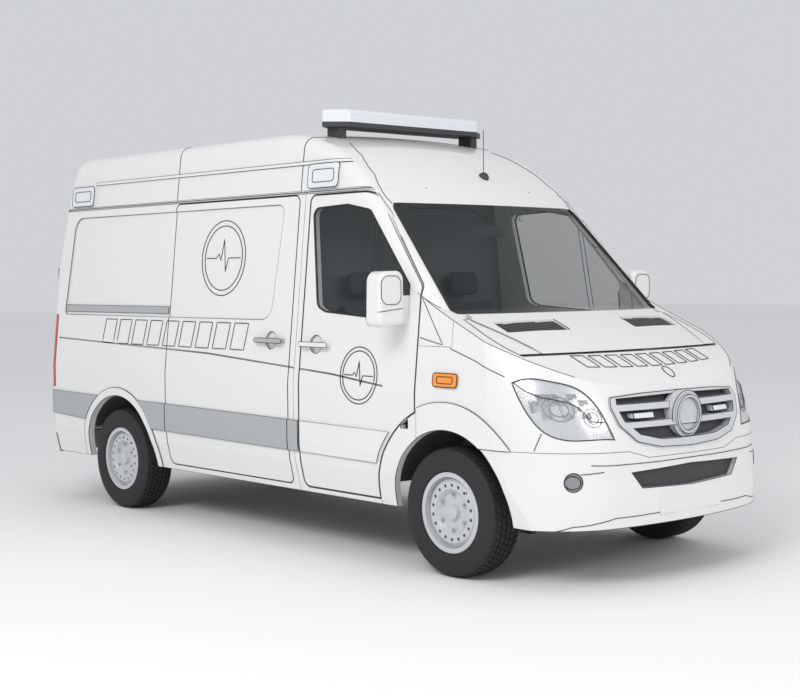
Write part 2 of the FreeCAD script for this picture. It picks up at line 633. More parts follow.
def make_panels(outer, inner):
    shell = outer.cut(inner)
    parts = {}
    far = LENGTH
    screen = through(SCREEN, SCREEN_ROUNDS, fa(-720.0), fa(200.0))
    front_arches = arch(FRONT_AXLE_X, ARCH_RADIUS)
    rear_arches = arch(REAR_AXLE_X, ARCH_RADIUS)
    grille = grille_region()
    rear_doors = rear_door_region(0.0)

    seam = [(-far, ROOF_SEAM[0][1])] + [(fa(x), z) for x, z in ROOF_SEAM] + [(far, ROOF_SEAM[-1][1])]
    outline = [Vector(x, -WIDE, z) for x, z in seam] + [Vector(far, -WIDE, HIGH), Vector(-far, -WIDE, HIGH)]
    above = Part.Face(Part.makePolygon(outline + outline[:1])).extrude(Vector(0, 2 * WIDE, 0))
    roof = shell.common(above).cut(rear_doors)
    for side in SIDES.values():
        roof = roof.fuse(roof_rib(outer, side))
    for x in ROOF_JOINTS:
        roof = roof.cut(roof_joint(outer, x))
    parts["roof_panel"] = roof
    below = shell.cut(above)

    pillar = fa(PILLAR_SEAM)
    back = below.common(box(-far, pillar, -WIDE, WIDE, SILL_BOTTOM, HIGH)).cut(rear_doors).cut(rear_arches)
    back = back.cut(box(-far, REAR_FACE_X + WALL, -WIDE, WIDE, 0.0, REAR_BUMPER_TOP))
    lamps = []
    for name, side in SIDES.items():
        panel = back.common(half_space(side))
        lamps.append(panel.common(tail_region(side)))
        panel = panel.cut(tail_region(side))
        panel = panel.cut(skin(outer, across(SIDE_FIELD, SIDE_FIELD_ROUNDS, side), Vector(0, -side * FIELD_DEPTH, 0)))
        panel = panel.cut(belt_line(outer, side)).cut(gutter_line(outer, side))
        if side < 0:
            door = across(SLIDING_DOOR, SLIDING_ROUNDS, side)
            hole = across(SLIDING_DOOR, SLIDING_ROUNDS, side, SHUT_GAP)
            groove = skin(outer, hole.cut(door), Vector(0, -side * SHUT_DEPTH, 0))
            parts["sliding_door"] = panel.common(door).cut(handle_dish(outer, side, HANDLE_DISH[1]))
            panel = panel.cut(door).cut(groove)
        panel = panel.fuse(flare(panel, REAR_AXLE_X, FLARE_REAR, side))
        parts["side_panel_" + name] = panel
    parts["tail_lamps"] = Part.makeCompound(lamps)

    front = below.common(box(pillar, far, -WIDE, WIDE, 0.0, HIGH))
    nose_x = fa(FENDER_FRONT)
    fender_zone = box(fa(FRONT_DOOR[-1][0]) + WING_GAP, far, -WIDE, WIDE, FENDER_TOP - 700.0, FENDER_TOP)
    fender_zone = fender_zone.fuse(box(nose_x, far, -WIDE, WIDE, FENDER_TOP, 1700.0))
    behind_wheel = arch(FRONT_AXLE_X, FLARE_RADIUS).common(box(-far, FRONT_AXLE_X, -WIDE, WIDE, SILL_BOTTOM, HIGH))
    fender_zone = fender_zone.fuse(behind_wheel)
    fender_zone = fender_zone.cut(box(fa(-300.0), fa(COWL_FRONT), -COWL_HALF, COWL_HALF, FENDER_TOP, 1700.0))
    half = [(0.0, 0.0), (WIDE, 0.0)] + BUMPER_SEAM[::-1]
    bumper_zone = through(symmetric(half), 0.0, FRONT_AXLE_X, far)
    rest = front.cut(bonnet_region(BONNET_GAP))
    fenders = rest.common(fender_zone).cut(bumper_zone).cut(front_arches).cut(grille)
    for side in SIDES.values():
        fenders = fenders.cut(lamp_region(side))
        lip = flare(fenders, FRONT_AXLE_X, FLARE_FRONT, side)
        fenders = fenders.fuse(lip.cut(bumper_zone).common(box(fa(FLARE_START), far, -WIDE, WIDE, 0.0, HIGH)))
        x0, x1, z0, z1 = DOOR_RELIEF
        fenders = fenders.cut(sided_box(fa(x0), fa(x1), SIDE_NEAR, WIDE, z0, z1, side))
    parts["fenders"] = fenders
    bumper = rest.common(bumper_zone).cut(front_arches).cut(box(-far, far, -WIDE, WIDE, 0.0, BUMPER_LOW_SIDE))
    bumper = bumper.cut(through(symmetric(LOWER_GRILLE), 0.0, fa(400.0), fa(1200.0)))
    for side in SIDES.values():
        bumper = bumper.cut(fog_region(side, FOG_LAMP[2]))
    parts["front_bumper"] = bumper
    frame = rest.cut(fender_zone).cut(bumper_zone).cut(screen)
    frame = frame.cut(box(-far, far, -WIDE, WIDE, 0.0, SILL_BOTTOM)).cut(front_arches)
    lid = front.common(bonnet_region(0.0))
    lid = lid.fuse(bonnet_crown(lid)).common(bonnet_rear_bevel())
    vents = []
    for side in SIDES.values():
        frame = frame.cut(tab_slot(side)).fuse(tab_pin(side)).cut(gutter_line(outer, side))
        lid = lid.fuse(bonnet_tab(outer, side)).cut(tab_bore(side))
        lid = lid.cut(layer(outer, vent_region(side), Vector(0, 0, VENT_DEPTH), Vector(0, 0, -VENT_DEPTH)))
        vents.append(vent_insert(outer, side))
    parts["bonnet_panel"] = lid
    parts["bonnet_vents"] = Part.makeCompound(vents)
    for name, side in SIDES.items():
        hole = across(FRONT_DOOR, FRONT_DOOR_ROUNDS, side, DOOR_GAP).cut(arch(FRONT_AXLE_X, FLARE_RADIUS))
        frame = frame.cut(hole)
        door = across(FRONT_DOOR, FRONT_DOOR_ROUNDS, side).cut(arch(FRONT_AXLE_X, FLARE_RADIUS + DOOR_GAP))
        window = across(DOOR_WINDOW, DOOR_WINDOW_ROUNDS, side)
        panel = front.common(door).cut(window).cut(belt_line(outer, side)).cut(handle_dish(outer, side, HANDLE_DISH[0]))
        for z in FRONT_HINGES:
            panel = panel.cut(front_hinge_notch(side, z))
        parts["door_front_%s_panel" % name] = panel
        parts["door_front_%s_glass" % name] = skin(outer, window, Vector(0, -side * GLASS, 0))
        parts["door_rear_%s_panel" % name] = shell.common(back_door_region(side)).cut(rear_window(side))
        parts["door_rear_%s_glass" % name] = skin(outer, rear_window(side), Vector(GLASS, 0, 0))
    parts["cab_frame"] = frame
    parts["windscreen"] = skin(outer, screen, Vector(-GLASS * 1.4, 0, 0))
    return parts


# Lamps, grille and trim


def make_front_trim(outer):
    parts = {}
    lenses = []
    bowls = []
    fogs = []
    lid = bonnet_region(BONNET_GAP)
    for side in SIDES.values():
        region = lamp_region(side)
        out = Vector(1, side, 0).normalize()
        lenses.append(skin(outer, region, out * -LENS).cut(lid))
        deep = outer.common(region)
        back = deep.copy()
        deep.translate(out * -LENS)
        back.translate(out * -(LENS + BOWL_DEPTH))
        bowls.append(deep.cut(back).cut(lid))
        fogs.append(skin(outer, fog_region(side, FOG_LAMP[2]), out * -WALL))
    parts["headlamp_bowls"] = Part.makeCompound(bowls)
    mouth, mesh = make_grille(outer)
    lower = through(symmetric(LOWER_GRILLE), 0.0, fa(400.0), fa(1200.0))
    lower_mesh = layer(outer, lower, Vector(-GRILLE_DEPTH, 0, 0), Vector(-GRILLE_DEPTH - MESH_THICK, 0, 0))
    parts["grille"] = mouth
    parts["grille_mesh"] = Part.makeCompound([mesh, lower_mesh])
    parts["headlamp_lenses"] = Part.makeCompound(lenses + fogs)
    return parts


def make_grille(outer):
    """The frame with its two louvres and round boss, and the dark mesh behind them."""
    region = grille_region()
    frame = layer(outer, region, Vector(GRILLE_PROUD, 0, 0), Vector(-GRILLE_DEPTH, 0, 0))
    inside = through(symmetric(GRILLE_INNER), 0.0, fa(400.0), fa(1200.0))
    for z0, z1 in GRILLE_OPENINGS:
        frame = frame.cut(inside.common(box(fa(400.0), fa(1200.0), -WIDE, WIDE, z0, z1)))
    back, face, radius = BOSS
    frame = frame.fuse(disc(back, face, radius))
    ring_back, ring_face, ring_out, ring_in = BADGE_RING
    frame = frame.fuse(disc(face, ring_face, ring_out).cut(disc(ring_back, ring_face, ring_in)))
    mesh = layer(outer, region, Vector(-GRILLE_DEPTH, 0, 0), Vector(-GRILLE_DEPTH - MESH_THICK, 0, 0))
    return frame, mesh.cut(disc(back, face, radius))


def disc(x0, x1, radius):
    """A round slice of the badge boss, about its level centre line."""
    return Part.makeCylinder(radius, x1 - x0, Vector(fa(x0), 0, BADGE_HEIGHT), Vector(1, 0, 0))


def strobe(outer, side):
    y0, y1, z0, z1, out = STROBE
    region = sided_box(fa(400.0), fa(1200.0), y0, y1, z0, z1, side)
    return layer(outer, region, Vector(out, 0, 0), Vector(-GRILLE_DEPTH, 0, 0))


MESH_THICK = 6.0
GRILLE_PROUD = 12.0
GRILLE_OPENINGS = [(770.0, 840.0), (873.0, 930.0), (965.0, 1004.0)]
BADGE_HEIGHT = 891.0
BOSS = (800.0, 872.0, 128.0)
BADGE_RING = (866.0, 888.0, 105.0, 90.0)
STROBE = (262.0, 408.0, 888.0, 918.0, 14.0)
LENS = 6.0
BOWL_DEPTH = 90.0
GRILLE_DEPTH = 30.0
GRILLE_INNER = [(0.0, 766.0), (240.0, 774.0), (385.0, 806.0), (478.0, 880.0), (505.0, 950.0), (494.0, 996.0),
                (0.0, 1006.0)]

SLIDING_ROUNDS = 45.0

# Side trim, bumpers and plates

BAND_TOP = [(-4400.0, 806.0), (-390.0, 767.0), (700.0, 757.0)]
BAND_LOW = [(-4400.0, 640.0), (-3776.0, 612.0), (-390.0, 579.0), (700.0, 569.0)]
BAND_PROUD = 10.0
BAND_BREAK = 12.0
REAR_BUMPER = (330.0, 465.0, 22.0)
REAR_BUMPER_FRONT = -4170.0
PLATE = (260.0, 376.0, 499.0, 905.0, 870.0)
SIDE_LAMP = [(-95.0, 1045.0), (-95.0, 1120.0), (95.0, 1120.0), (95.0, 1045.0)]
SIDE_LAMP_ROUND = 20.0
SIDE_LAMP_PROUD = 12.0
SCENE_LAMPS = [(-1324.0, -1029.0, 2186.0, 2333.0), (-4196.0, -3882.0, 2186.0, 2330.0)]
SCENE_LAMP_ROUND = 32.0
SCENE_LAMP_PROUD = 16.0
RAIL = (-4196.0, -2790.0, 1404.0, 1453.0)
HANDLE = [(-1279.0, -1006.0), (-1739.0, -1457.0)]
HANDLE_Z = (1243.0, 1255.0)
HANDLE_HALF = 14.0
HANDLE_PROUD = 36.0
HANDLE_THICK = 18.0
HANDLE_ROUND_SHARE = 0.98
HANDLE_FOOT = 45.0


def band_region(x0, x1, side):
    """The rubbing strip along the side, between two places."""
    places = [x0] + [x for x, _ in BAND_LOW if x0 < x < x1] + [x1]
    low = [(x, read_at(BAND_LOW, x)) for x in places]
    return across(low + [(x1, read_at(BAND_TOP, x1)), (x0, read_at(BAND_TOP, x0))], 0.0, side)


def raise_side(outer, region, side, height):
    return proud(outer, region, Vector(0, side * height, 0))


def handle(outer, side, x0, x1, z):
    """A pull handle: a round-ended bar that stands off the skin over the finger dish, on a foot at each end."""
    low = z - HANDLE_HALF
    high = z + HANDLE_HALF
    bar = across([(x0, low), (x1, low), (x1, high), (x0, high)], HANDLE_HALF * HANDLE_ROUND_SHARE, side)
    grip = layer(outer, bar, Vector(0, side * HANDLE_PROUD, 0), Vector(0, side * (HANDLE_PROUD - HANDLE_THICK), 0))
    middle = sided_box(fa(x0) + HANDLE_FOOT, fa(x1) - HANDLE_FOOT, SIDE_NEAR, SIDE_FAR, low, high, side)
    feet = raise_side(outer, bar.cut(middle), side, HANDLE_PROUD - HANDLE_THICK)
    return grip.fuse(feet)


def make_side_trim(outer):
    parts = {}
    bands = []
    lamps = []
    scenes = []
    handles = []
    for name, side in SIDES.items():
        door_rear = FRONT_DOOR[0][0] - DOOR_GAP
        arches = arch(REAR_AXLE_X, FLARE_REAR + FIT).fuse(arch(FRONT_AXLE_X, FLARE_FRONT + FIT))
        runs = [(-4330.0, SLIDING_DOOR[0][0] - SHUT_GAP), (SLIDING_DOOR[3][0] + SHUT_GAP, door_rear)]
        if side < 0:
            runs.insert(1, (SLIDING_DOOR[0][0], SLIDING_DOOR[3][0]))
        else:
            runs = [(-4330.0, door_rear)]
        for x0, x1 in runs:
            band = raise_side(outer, band_region(x0, x1, side), side, BAND_PROUD).cut(arches)
            bands += band.Solids
        door_band = band_region(FRONT_DOOR[0][0] + BAND_BREAK, -250.0, side).cut(
            arch(FRONT_AXLE_X, FLARE_FRONT + DOOR_GAP))
        x0, x1 = HANDLE[0]
        grip = handle(outer, side, x0, x1, HANDLE_Z[0])
        parts["door_front_%s_fittings" % name] = Part.makeCompound(
            raise_side(outer, door_band, side, BAND_PROUD).Solids + [grip, mirror(outer, side)])
        lamps.append(raise_side(outer, across(SIDE_LAMP, SIDE_LAMP_ROUND, side), side, SIDE_LAMP_PROUD))
        for x0, x1, z0, z1 in SCENE_LAMPS:
            region = across([(x0, z0), (x1, z0), (x1, z1), (x0, z1)], SCENE_LAMP_ROUND, side, near=700.0)
            scenes.append(raise_side(outer, region, side, SCENE_LAMP_PROUD))
    x0, x1 = HANDLE[1]
    handles.append(handle(outer, -1.0, x0, x1, HANDLE_Z[1]))
    x0, x1, z0, z1 = RAIL
    slot = across([(x0, z0), (x1, z0), (x1, z1), (x0, z1)], 0.0, -1.0)
    rail = skin(outer, slot, Vector(0, FIELD_DEPTH, 0))
    handles.append(rail)
    parts["side_mouldings"] = Part.makeCompound(bands + handles)
    parts["side_lamps"] = Part.makeCompound(lamps)
    parts["scene_lamps"] = Part.makeCompound(scenes + [strobe(outer, side) for side in SIDES.values()])

    z0, z1, behind = REAR_BUMPER
    front = fa(REAR_BUMPER_FRONT)
    region = box(-LENGTH, front, -WIDE, WIDE, z0, z1)
    block = outer.common(region)
    block.translate(Vector(-behind, 0, 0))
    keep = box(-LENGTH, REAR_FACE_X + WALL, -WIDE, WIDE, z0, z1)
    parts["rear_bumper"] = block.common(keep)
    half, z0, z1, x1, x0 = PLATE
    parts["number_plate"] = box(fa(x0), fa(x1), -half, half, z0, z1).cut(outer)
    return parts


# Rear door hinges and handle

REAR_HINGES = [620.0, 1150.0, 1690.0]
KNUCKLE_RADIUS = 9.0
KNUCKLE_HALF = 20.0
KNUCKLE_END = 16.0
KNUCKLE_GAP = 0.5
STRAP = 8.0
STRAP_REACH = 60.0


def sided_box(x0, x1, y0, y1, z0, z1, side):
    low, high = sorted([side * y0, side * y1])
    return box(x0, x1, low, high, z0, z1)


def make_rear_fittings():
    parts = {}
    carriers = []
    for name, side in SIDES.items():
        straps = []
        for z in REAR_HINGES:
            axis = rear_hinge(side)
            edge = at_height(REAR_DOOR_EDGE, z + KNUCKLE_HALF) - SHUT_GAP
            low = z - KNUCKLE_HALF
            high = z + KNUCKLE_HALF
            barrel = Part.makeCylinder(KNUCKLE_RADIUS, high - low, axis + Vector(0, 0, low))
            strap = sided_box(axis.x - STRAP / 2, axis.x + STRAP / 2, edge - STRAP_REACH, REAR_HINGE_Y, low, high, side)
            foot = sided_box(axis.x - STRAP / 2, REAR_FACE_X, edge - STRAP_REACH, edge - STRAP, low, high, side)
            straps.append(barrel.fuse(strap).fuse(foot))
            for z0, z1 in ((low - KNUCKLE_GAP - KNUCKLE_END, low - KNUCKLE_GAP),
                           (high + KNUCKLE_GAP, high + KNUCKLE_GAP + KNUCKLE_END)):
                knuckle = Part.makeCylinder(KNUCKLE_RADIUS, z1 - z0, axis + Vector(0, 0, z0))
                lug = sided_box(axis.x, REAR_FACE_X, REAR_HINGE_Y + 1.0, REAR_HINGE_Y + KNUCKLE_RADIUS, z0, z1, side)
                carriers.append(knuckle.fuse(lug))
        parts["door_rear_%s_hinges" % name] = Part.makeCompound(straps)
    return parts, carriers


# Front door hinges. The pivot stands inside the door's wall. The carrier reaches it from inboard, so the
# strip of door in front of the pivot can swing in behind the wing.

FRONT_HINGE_X = -340.0
FRONT_HINGE_Y = 960.0
FRONT_HINGES = [880.0, 1010.0]
FRONT_HINGE_HALF = 25.0
FRONT_KNUCKLE = 11.0
FRONT_NOTCH = (-20.0, 110.0, 16.0)
HINGE_PLATE = (101.0, 115.0)
HINGE_LINK = 8.0
HINGE_FOOT = (112.0, 132.0)


def front_hinge_notch(side, z):
    x = fa(FRONT_HINGE_X)
    a, b, out = FRONT_NOTCH
    return sided_box(x + a, x + b, SIDE_NEAR, FRONT_HINGE_Y + out, z - FRONT_HINGE_HALF, z + FRONT_HINGE_HALF, side)


def front_hinge_carrier(inner, side, z):
    x = fa(FRONT_HINGE_X)
    low = z - FRONT_HINGE_HALF + FIT
    high = z + FRONT_HINGE_HALF - FIT
    near, far = HINGE_PLATE
    a, b = HINGE_FOOT
    knuckle = Part.makeCylinder(FRONT_KNUCKLE, high - low, Vector(x, side * FRONT_HINGE_Y, low))
    link = sided_box(x - HINGE_LINK, x + HINGE_LINK, FRONT_HINGE_Y - far, FRONT_HINGE_Y, low, high, side)
    plate = sided_box(x - HINGE_LINK, x + b, FRONT_HINGE_Y - far, FRONT_HINGE_Y - near, low, high, side)
    foot = sided_box(x + a, x + b, FRONT_HINGE_Y - far, FRONT_HINGE_Y + WALL, low, high, side).common(inner)
    return knuckle.fuse(link).fuse(plate).fuse(foot)


def make_hinges(inner):
    parts, carriers = make_rear_fittings()
    for side in SIDES.values():
        for z in FRONT_HINGES:
            carriers.append(front_hinge_carrier(inner, side, z))
    parts["hinge_carriers"] = Part.makeCompound(carriers)
    return parts


# Bonnet hinges. A tab at each rear corner of the bonnet turns on a pin in a slot of the scuttle.

BONNET_HINGE = (8.0, 1398.0)
TAB = (815.0, 839.0)
TAB_RADIUS = 16.0
TAB_LAP = 62.0
TAB_HEADROOM = 200.0
SLOT_GAP = 6.0
SLOT_BACK = 13.0
PIN_RADIUS = 5.0
PIN_BITE = 8.0


def bonnet_pivot(y):
    return Vector(fa(BONNET_HINGE[0]), y, BONNET_HINGE[1])


def bonnet_tab(outer, side):
    y0, y1 = TAB
    front = fa(BONNET_SIDE[0][0]) + TAB_LAP
    low = BONNET_HINGE[1] - TAB_RADIUS
    bar = outer.common(sided_box(bonnet_pivot(0).x, front, y0, y1, low, BONNET_HINGE[1] + TAB_RADIUS, side))
    eye = rod(bonnet_pivot(side * y0), bonnet_pivot(side * y1), TAB_RADIUS)
    return bar.fuse(eye)


def tab_bore(side):
    y0, y1 = TAB
    return rod(bonnet_pivot(side * (y0 - SLOT_GAP)), bonnet_pivot(side * (y1 + SLOT_GAP)), PIN_RADIUS + FIT)


def tab_slot(side):
    y0, y1 = TAB
    y0 -= SLOT_GAP
    y1 += SLOT_GAP
    z = BONNET_HINGE[1]
    radius = TAB_RADIUS + SLOT_GAP
    hole = sided_box(bonnet_pivot(0).x, fa(COWL_FRONT) + WALL, y0, y1, z - TAB_HEADROOM, z + TAB_HEADROOM, side)
    above = sided_box(bonnet_pivot(0).x - SLOT_BACK, bonnet_pivot(0).x, y0, y1, z, z + TAB_HEADROOM, side)
    return hole.fuse(above).fuse(rod(bonnet_pivot(side * y0), bonnet_pivot(side * y1), radius))


def tab_pin(side):
    y0, y1 = TAB
    reach = SLOT_GAP + PIN_BITE
    return rod(bonnet_pivot(side * (y0 - reach)), bonnet_pivot(side * (y1 + reach)), PIN_RADIUS)


# Light bar, aerial and mirrors

BAR_X = -1406.0
BAR_PLAN = [(106.0, 560.0), (0.0, 700.0), (-104.0, 560.0)]
BAR_LOW = 2582.0
BAR_SPLIT = 2612.0
BAR_HIGH = 2691.0
BAR_ROUND = 24.0
BAR_FOOT = (60.0, 545.0, 600.0)
AERIAL = (-802.0, 120.0)
AERIAL_RADIUS = 34.0
AERIAL_HEIGHT = 34.0
WHIP_RADIUS = 2.5
WHIP_TOP = 2559.0
MIRROR = [(985.0, 1380.0), (1180.0, 1362.0), (1172.0, 1675.0), (990.0, 1680.0)]
MIRROR_ROUNDS = [30.0, 44.0, 62.0, 50.0]
MIRROR_X = (-425.0, -315.0)
MIRROR_NOSE = 26.0
MIRROR_ARM = (-390.0, -340.0, 1385.0, 1540.0)


def make_roof_fittings(outer):
    parts = {}
    centre = fa(BAR_X)
    half = [(centre + x, y) for x, y in BAR_PLAN]
    plan = half + [(x, -y) for x, y in reversed(half)]
    face = Part.Face(rounded(plan, BAR_ROUND, "xy"))
    base = face.copy()
    base.translate(Vector(0, 0, BAR_LOW))
    base = base.extrude(Vector(0, 0, BAR_SPLIT - BAR_LOW))
    length, y0, y1 = BAR_FOOT
    for side in SIDES.values():
        foot = sided_box(centre - length, centre + length, y0, y1, BAR_LOW - 150.0, BAR_LOW, side).cut(outer)
        base = base.fuse(foot)
    lens = face.copy()
    lens.translate(Vector(0, 0, BAR_SPLIT))
    lens = lens.extrude(Vector(0, 0, BAR_HIGH - BAR_SPLIT))
    top = [e for e in lens.Edges if min(v.Z for v in e.Vertexes) > BAR_HIGH - FIT]
    parts["light_bar_lens"] = lens.makeFillet(BAR_ROUND, top)
    x, y = AERIAL
    foot = Part.makeCylinder(AERIAL_RADIUS, 600.0, Vector(fa(x), y, 2000.0)).cut(outer)
    ball = Part.makeSphere(AERIAL_RADIUS, Vector(fa(x), y, aerial_seat()))
    foot = foot.common(ball)
    whip = Part.makeCylinder(WHIP_RADIUS, WHIP_TOP - aerial_seat() - AERIAL_RADIUS / 2,
                             Vector(fa(x), y, aerial_seat() + AERIAL_RADIUS / 2))
    parts["light_bar_base"] = Part.makeCompound([base, foot.fuse(whip)])
    return parts


def aerial_seat():
    return DOME[0][1] + (DOME[0][0] - AERIAL[0]) * 0.76


def mirror(outer, side):
    """A tall housing, round at the front and flat at the glass, on a short arm."""
    x0, x1 = MIRROR_X
    face = Part.Face(rounded([(side * y, z) for y, z in MIRROR], MIRROR_ROUNDS, "yz"))
    face.translate(Vector(fa(x0), 0, 0))
    head = face.extrude(Vector(x1 - x0, 0, 0))
    front = [e for e in head.Edges if min(v.X for v in e.Vertexes) > fa(x1) - FIT]
    head = head.makeFillet(MIRROR_NOSE, front)
    a0, a1, b0, b1 = MIRROR_ARM
    stalk = sided_box(fa(a0), fa(a1), SIDE_NEAR, MIRROR[0][0] + MIRROR_NOSE / 2, b0, b1, side).cut(outer)
    return head.fuse(stalk)


# Floor, chassis and running gear

FLOOR_TOP = 600.0
FLOOR_LOW = 560.0
FLOOR_FRONT = -330.0
BOARD = 4.0
BOARD_EDGE = 24.0
LINER = 10.0
SILL_INNER = 925.0
LINER_IN_FRONT = 545.0
LINER_IN_REAR = 590.0
RAIL_Y = 430.0
RAIL_WIDTH = 80.0
RAIL_LOW = 430.0
RAIL_FRONT = 690.0
RAIL_REAR = -4330.0
CROSS_X = [-4250.0, -2700.0, -1900.0, -1100.0, 640.0]
CROSS = 80.0
CROSS_LOW = 500.0
FIREWALL_X = -200.0
FIREWALL = 20.0
PARTITION_X = -1410.0
PARTITION = 25.0
PARTITION_TOP = 2440.0


def make_floor(inner):
    parts = {}
    rear = REAR_FACE_X + WALL + DOOR_GAP
    slab = inner.common(box(rear, fa(FLOOR_FRONT), -WIDE, WIDE, FLOOR_LOW, FLOOR_TOP))
    rear_hole = arch(REAR_AXLE_X, ARCH_RADIUS + LINER, 1.0).common(box(-LENGTH, LENGTH, LINER_IN_REAR - LINER, WIDE, 0, HIGH))
    front_hole = arch(FRONT_AXLE_X, ARCH_RADIUS + LINER, 1.0).common(
        box(-LENGTH, LENGTH, LINER_IN_FRONT - LINER, WIDE, 0, HIGH))
    front_hole = front_hole.fuse(mirrored(front_hole))
    slab = slab.cut(rear_hole).cut(mirrored(rear_hole)).cut(front_hole)
    for side in SIDES.values():
        slab = slab.cut(across(FRONT_DOOR, FRONT_DOOR_ROUNDS, side, DOOR_GAP, near=SILL_INNER))
    board = box(rear + BOARD_EDGE, fa(PARTITION_X) - PARTITION - BOARD_EDGE, -LINER_IN_REAR + LINER + BOARD_EDGE,
                LINER_IN_REAR - LINER - BOARD_EDGE, FLOOR_TOP, FLOOR_TOP + BOARD)
    parts["floor_pan"] = slab.fuse(board)
    liners = []
    ring = arch(FRONT_AXLE_X, ARCH_RADIUS + LINER, 1.0).cut(arch(FRONT_AXLE_X, ARCH_RADIUS, 1.0))
    ring = ring.common(box(-LENGTH, LENGTH, LINER_IN_FRONT, WIDE, FLOOR_LOW - CROSS, HIGH)).common(inner)
    liners += both(ring)
    ring = arch(REAR_AXLE_X, ARCH_RADIUS + LINER, 1.0).cut(arch(REAR_AXLE_X, ARCH_RADIUS, 1.0))
    ring = ring.common(box(-LENGTH, LENGTH, LINER_IN_REAR, WIDE, FLOOR_LOW, HIGH)).common(inner)
    plate = arch(REAR_AXLE_X, ARCH_RADIUS + LINER, 1.0).common(
        box(-LENGTH, LENGTH, LINER_IN_REAR - LINER, LINER_IN_REAR, FLOOR_LOW, HIGH))
    liners += both(ring.fuse(plate))
    parts["wheel_arch_liners"] = Part.makeCompound(liners)
    firewall = inner.common(box(fa(FIREWALL_X), fa(FIREWALL_X) + FIREWALL, -WIDE, WIDE, FLOOR_LOW, 1330.0))
    toe = Part.Face(Part.makePolygon([Vector(fa(x), -WIDE, z) for x, z in (
        (FLOOR_FRONT, FLOOR_LOW), (FIREWALL_X + FIREWALL, FLOOR_LOW), (FIREWALL_X + FIREWALL, FLOOR_TOP),
        (FLOOR_FRONT, FLOOR_TOP), (FLOOR_FRONT, FLOOR_LOW))])).extrude(Vector(0, 2 * WIDE, 0))
    firewall = firewall.fuse(inner.common(toe).cut(firewall)).cut(front_hole)
    wall = inner.common(box(fa(PARTITION_X) - PARTITION, fa(PARTITION_X), -WIDE, WIDE, FLOOR_TOP, PARTITION_TOP))
    parts["bulkheads"] = Part.makeCompound([firewall, wall])
    beams = []
    for side in SIDES.values():
        beams.append(sided_box(fa(RAIL_REAR), fa(RAIL_FRONT), RAIL_Y, RAIL_Y + RAIL_WIDTH, RAIL_LOW, FLOOR_LOW, side))
    for x in CROSS_X:
        beams.append(box(fa(x) - CROSS / 2, fa(x) + CROSS / 2, -RAIL_Y, RAIL_Y, CROSS_LOW, FLOOR_LOW))
    parts["chassis_frame"] = Part.makeCompound(beams)
    return parts


SUBFRAME = (160.0, 440.0, 340.0, 425.0, 200.0)
ARM_LOW = (214.0, 238.0)
ARM_HIGH = (474.0, 498.0)
ARM_HALF = 28.0
ARM_SPREAD = 150.0
ARM_NARROW_Y = 620.0
KINGPIN_Y = 815.0
EYE_RADIUS = 30.0
UPRIGHT_RADIUS = 22.0
STUB_RADIUS = 30.0
HUB_IN = 851.0
CALIPER = (100.0, 172.0, 300.0, 412.0, 838.0, 888.0)
CALIPER_SLOT = (846.0, 880.0, 158.0)
AXLE_RADIUS = 45.0
DIFF_RADIUS = 130.0
LEAF = (440.0, 500.0, 28.0, 650.0, 100.0)
LEAF_PAD = 60.0
ENGINE = (-60.0, 540.0, 250.0, 425.0, 1000.0)
GEARBOX = (-900.0, -60.0, 130.0, 400.0, 545.0)
RADIATOR = (610.0, 660.0, 400.0, 560.0, 960.0)
TANK = (-2350.0, -1500.0, 60.0, 400.0, 300.0, 555.0)
PIPE_RADIUS = 30.0
MUFFLER = (-2500.0, -1950.0, -260.0, 474.7, 85.0)
SHAFT_RADIUS = 35.0


def arm(z0, z1, y_root, side):
    points = [(-ARM_HALF, KINGPIN_Y), (ARM_HALF, KINGPIN_Y), (ARM_HALF, ARM_NARROW_Y), (ARM_SPREAD, y_root),
              (-ARM_SPREAD, y_root), (-ARM_HALF, ARM_NARROW_Y)]
    wire = Part.makePolygon([Vector(FRONT_AXLE_X + x, side * y, z0) for x, y in points + points[:1]])
    plate = Part.Face(wire).extrude(Vector(0, 0, z1 - z0))
    eye = Part.makeCylinder(EYE_RADIUS, z1 - z0, Vector(FRONT_AXLE_X, side * KINGPIN_Y, z0))
    return plate.fuse(eye)


